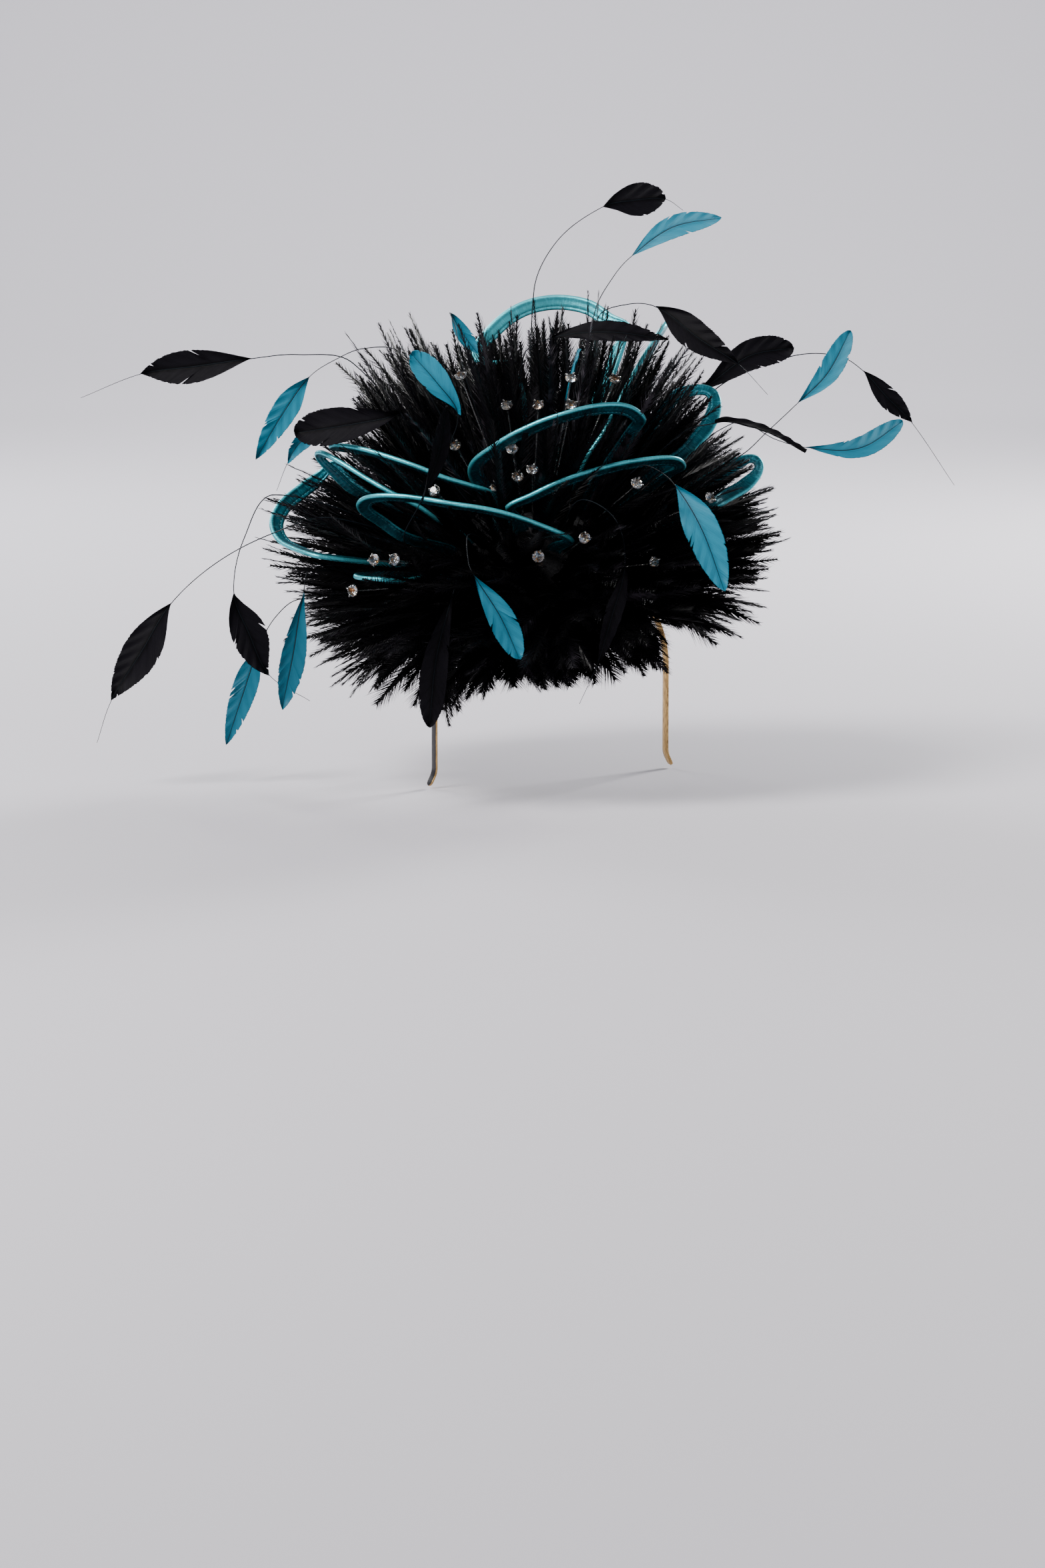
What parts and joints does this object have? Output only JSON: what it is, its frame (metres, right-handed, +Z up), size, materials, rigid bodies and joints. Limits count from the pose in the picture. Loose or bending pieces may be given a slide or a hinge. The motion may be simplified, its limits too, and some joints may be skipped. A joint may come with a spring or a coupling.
{
  "type": "fascinator",
  "caption": "Headband fascinator: hackle feather rosette with satin loops, wired crystals and trimmed quill feathers, for wear on the crown of the head.",
  "frame": {"origin": "underside of the band where it rests on the crown of the head", "axes": "+Z up, -Y towards the wearer's front, -X towards the wearer's right"},
  "size_m": [0.4513, 0.3118, 0.3272],
  "materials": {
    "band": "black satin lacquer, bare golden edges",
    "base": "black woven base",
    "hackle": "glossy black hackle",
    "feather_black": "trimmed black feather with a soft sheen",
    "feather_teal": "dyed teal feather",
    "satin": "teal satin",
    "crystal": "cut clear stone in a silver cup on twisted wire"
  },
  "bodies": {
    "root": {"crystal_01": "crystal", "crystal_02": "crystal", "crystal_03": "crystal", "crystal_04": "crystal", "crystal_05": "crystal", "crystal_06": "crystal", "crystal_07": "crystal", "crystal_08": "crystal", "crystal_09": "crystal", "crystal_10": "crystal", "crystal_11": "crystal", "crystal_12": "crystal", "crystal_13": "crystal", "crystal_14": "crystal", "crystal_15": "crystal", "crystal_16": "crystal", "crystal_17": "crystal", "crystal_18": "crystal", "crystal_19": "crystal", "crystal_20": "crystal", "feather_base": "base", "feather_black_centre": "feather_black", "feather_black_far_left": "feather_black", "feather_black_far_right": "feather_black", "feather_black_front_broad": "feather_black", "feather_black_front_thin": "feather_black", "feather_black_lower_left": "feather_black", "feather_black_right_edge": "feather_black", "feather_black_round_left": "feather_black", "feather_black_round_right": "feather_black", "feather_black_top": "feather_black", "feather_black_top_flat": "feather_black", "feather_black_upper_left": "feather_black", "feather_black_upper_right": "feather_black", "feather_teal_centre_left": "feather_teal", "feather_teal_edge_up": "feather_teal", "feather_teal_front": "feather_teal", "feather_teal_front_right": "feather_teal", "feather_teal_left_curl": "feather_teal", "feather_teal_low_left": "feather_teal", "feather_teal_lower_left": "feather_teal", "feather_teal_right": "feather_teal", "feather_teal_small_top": "feather_teal", "feather_teal_top": "feather_teal", "feather_teal_upper_left": "feather_teal", "feather_teal_upper_right": "feather_teal", "hackle_crown": "hackle", "hackle_skirt": "hackle", "headband": "band", "satin_loop_back": "satin", "satin_loop_far_left": "satin", "satin_loop_far_right": "satin", "satin_loop_front": "satin", "satin_loop_left": "satin", "satin_loop_left_low": "satin", "satin_loop_low": "satin", "satin_loop_middle": "satin", "satin_loop_right": "satin", "satin_loop_tall": "satin", "satin_loop_upper": "satin"}
  },
  "joints": []
}
